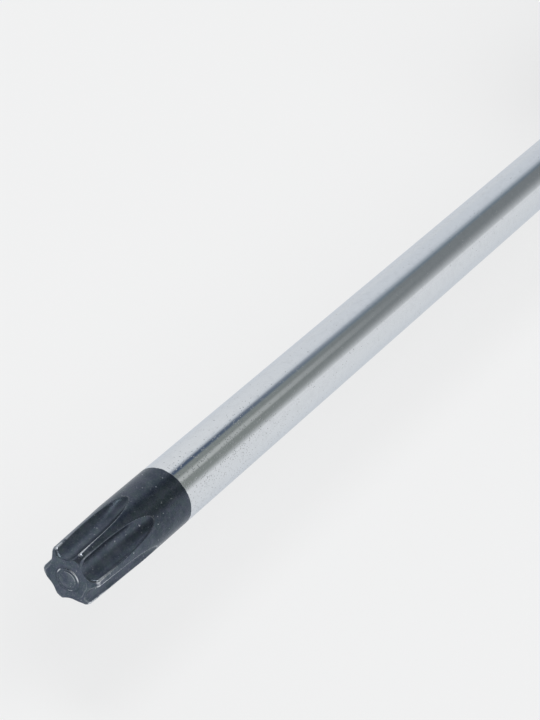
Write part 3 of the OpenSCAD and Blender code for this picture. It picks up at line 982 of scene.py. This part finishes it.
# Shades of the studio
SOFT_BOX = grey(0.88)
BOX_EDGE = colour(0.78, 0.80, 0.82)
FAR_BOX = colour(0.76, 0.78, 0.81)
FAR_BOX_EDGE = colour(0.66, 0.69, 0.73)
FAR_SEAM = colour(0.20, 0.245, 0.285)
SEAM = colour(0.075, 0.105, 0.165)
CEILING = colour(0.28, 0.30, 0.28)
CEILING_STRIP = colour(0.57, 0.58, 0.555)
FAR_CEILING = colour(0.23, 0.245, 0.25)
NEAR_WALL = colour(0.72, 0.73, 0.75)
NEAR_WALL_TOP = colour(0.46, 0.48, 0.50)
NEAR_CEILING = colour(0.16, 0.175, 0.185)
NEAR_SKIRTING = colour(0.56, 0.57, 0.58)
FRONT_LOW = grey(0.2)
FRONT_HIGH = grey(0.55)
PALE = grey(FLOOR_SHADE)

# Where they lie round the tool's axis, in degrees from overhead towards +Y. A large soft box stands on the
# -Y side and ends in a dark seam, and beside the shaft a lit strip crosses the dim ceiling. From the handle
# to the tip the studio goes through three sets.
HANDLE_SIDE = (
    (-180, SOFT_BOX), (-25, FAR_BOX), (-12, FAR_BOX_EDGE), (6, FAR_SEAM), (15, FAR_CEILING),
    (180, FAR_CEILING),
)
SHAFT_SIDE = (
    (-180, SOFT_BOX), (-24, SOFT_BOX), (-14, BOX_EDGE), (-4, SEAM), (3, SEAM), (9, CEILING), (21, CEILING),
    (29, CEILING_STRIP), (38, CEILING_STRIP), (44, CEILING), (180, CEILING),
)
TIP_SIDE = (
    (-180, PALE), (-100, NEAR_WALL), (-60, NEAR_WALL_TOP), (20, NEAR_CEILING), (55, NEAR_CEILING),
    (110, NEAR_SKIRTING), (180, PALE),
)

# Where one part of the studio turns into the next, as parts of a direction of length 1
HANDLE_SET_X = (-0.66, -0.77)
TIP_SET_X = (-0.56, -0.3)
FRONT_X = (0.45, 0.75)
FRONT_TOP_Z = (0.4, 0.75)
LOW_WALL_Z = (0.39, 0.07)
FAR_LOW_WALL_Z = (0.50, -0.08)
BACK_Y = (-0.3, -0.6)
BACK_X = (-0.88, -0.95)
HORIZON_Z = (0.17, 0.115)


def floor_finish():
    """A plain pale floor. Part of its shade glows in what the camera and polished surfaces see, so that the
    background stays even, and the rest takes the light and the tool's shadow."""
    made, tree, shader, _ = new_finish("pale_floor")
    rays = tree.nodes.new("ShaderNodeLightPath").outputs
    seen = math_node(tree, "MAXIMUM", rays["Is Camera Ray"], rays["Is Glossy Ray"])
    seen = math_node(tree, "MAXIMUM", seen, rays["Is Transmission Ray"])
    lit = mix_colour(tree, seen, PALE, grey(FLOOR_SHADE * (1 - FLOOR_GLOW)))
    tree.links.new(lit, shader.inputs["Base Color"])
    shader.inputs["Roughness"].default_value = 1.0
    shader.inputs["Specular IOR Level"].default_value = 0.0
    shader.inputs["Emission Color"].default_value = grey(FLOOR_SHADE * FLOOR_GLOW)
    tree.links.new(seen, shader.inputs["Emission Strength"])
    return made


def studio_bands(tree, share, stops):
    """A ramp of the studio's shades round the axis."""
    ramp = add(tree, "ShaderNodeValToRGB", {0: share})
    bands = ramp.color_ramp.elements
    while len(bands) < len(stops):
        bands.new(1.0)
    for band, (degrees, shade) in zip(bands, stops):
        band.position = degrees / FULL_TURN + 0.5
        band.color = shade
    return ramp.outputs[0]


def studio_world():
    """The studio as a world: bands round the tool's axis that change along it, pale low walls, a dim front,
    and a pale back and horizon."""
    world = bpy.data.worlds.new("studio")
    world.use_nodes = True
    tree = world.node_tree
    where = tree.nodes.new("ShaderNodeTexCoord").outputs["Generated"]
    x, y, z = add(tree, "ShaderNodeSeparateXYZ", {0: where}).outputs
    share = math_node(tree, "MULTIPLY_ADD", math_node(tree, "ARCTAN2", y, z), 0.5 / math.pi, 0.5)
    handle, shaft, tip = (studio_bands(tree, share, stops) for stops in (HANDLE_SIDE, SHAFT_SIDE, TIP_SIDE))
    towards_handle = step_node(tree, x, *HANDLE_SET_X)
    light = mix_colour(tree, towards_handle, shaft, handle)
    low = step_node(tree, z, *LOW_WALL_Z)
    low_wall = mix_value(tree, towards_handle, low, step_node(tree, z, *FAR_LOW_WALL_Z))
    light = mix_colour(tree, low_wall, light, PALE)
    light = mix_colour(tree, step_node(tree, x, *TIP_SET_X), light, tip)
    front = mix_colour(tree, step_node(tree, z, *FRONT_TOP_Z), FRONT_LOW, FRONT_HIGH)
    light = mix_colour(tree, step_node(tree, x, *FRONT_X), light, front)
    back = math_node(tree, "MAXIMUM", step_node(tree, y, *BACK_Y), step_node(tree, x, *BACK_X))
    horizon = step_node(tree, z, *HORIZON_Z)
    pale = math_node(tree, "MAXIMUM", math_node(tree, "MULTIPLY", low, back), horizon)
    light = mix_colour(tree, pale, light, PALE)
    tree.links.new(light, tree.nodes["Background"].inputs["Color"])
    bpy.context.scene.world = world


def distant_light(name, direction, strength, angle, mirrored):
    """A soft distant light from that direction, which polished surfaces show only where mirrored is set."""
    data = bpy.data.lights.new(name, "SUN")
    data.energy = strength
    data.angle = angle
    made = bpy.data.objects.new(name, data)
    made.rotation_euler = Vector(direction).to_track_quat("Z", "Y").to_euler()
    made.visible_glossy = mirrored
    bpy.context.scene.collection.objects.link(made)


def stage():
    """Floor, key light, a smaller light overhead that shows in the plating, and the studio's world."""
    corners = [(-1, -1), (1, -1), (1, 1), (-1, 1)]
    mesh = bpy.data.meshes.new("floor")
    mesh.from_pydata([(x * FLOOR_HALF, y * FLOOR_HALF, cad_low.z) for x, y in corners], [], [(0, 1, 2, 3)])
    mesh.materials.append(floor_finish())
    floor = bpy.data.objects.new("floor", mesh)
    bpy.context.scene.collection.objects.link(floor)
    distant_light("key", KEY_DIRECTION, KEY_STRENGTH, KEY_ANGLE, False)
    distant_light("overhead", OVERHEAD_DIRECTION, OVERHEAD_STRENGTH, OVERHEAD_ANGLE, True)
    studio_world()


# Camera: where it stands from the middle of the tip's end face in millimetres, and where it looks
CAMERA_FROM_TIP = (113.21, 92.85, 113.58)
CAMERA_PITCH = math.radians(32.29)
CAMERA_HEADING = math.radians(32.73)
LENS = 110.0
SENSOR = 36.0
NEAR_CLIP = 0.01


def camera():
    """The photograph's camera."""
    data = bpy.data.cameras.new("camera")
    data.lens = LENS
    data.sensor_width = SENSOR
    data.clip_start = NEAR_CLIP
    made = bpy.data.objects.new("camera", data)
    level = math.cos(CAMERA_PITCH)
    ahead = (-level * math.cos(CAMERA_HEADING), -level * math.sin(CAMERA_HEADING), -math.sin(CAMERA_PITCH))
    made.location = Vector((cad_high.x - FACE_DEPTH * MM, 0, AXIS_Z)) + Vector(CAMERA_FROM_TIP) * MM
    made.rotation_euler = Vector(ahead).to_track_quat("-Z", "Y").to_euler()
    bpy.context.scene.collection.objects.link(made)
    bpy.context.scene.camera = made


# The tool
finishes = {"plated_steel": plated_steel()}
for name, values in MOULDED.items():
    finishes[name] = moulded(name, *values)

piece("plated_blade", blade_mesh(), "plated_steel", "blade")
piece("handle_shell", handle_body_mesh(), "body_plastic", "handle_body")
piece("ringed_finger_grip", finger_grip_mesh(), "soft_grip", "finger_grip")
piece("domed_end_cap", end_cap_mesh(), "cap_plastic", "end_cap")
piece("butt_disc", size_disc_mesh(), "disc_plastic", "size_disc")
for index in range(FLATS):
    piece(f"soft_pad_{index + 1}", pad_mesh(index), "soft_grip", f"palm_pad_{index + 1}")
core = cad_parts["tang_core"]
core.data.materials.clear()
core.data.materials.append(finishes["core_plastic"])

stage()
camera()
bpy.context.scene.view_settings.view_transform = "Standard"
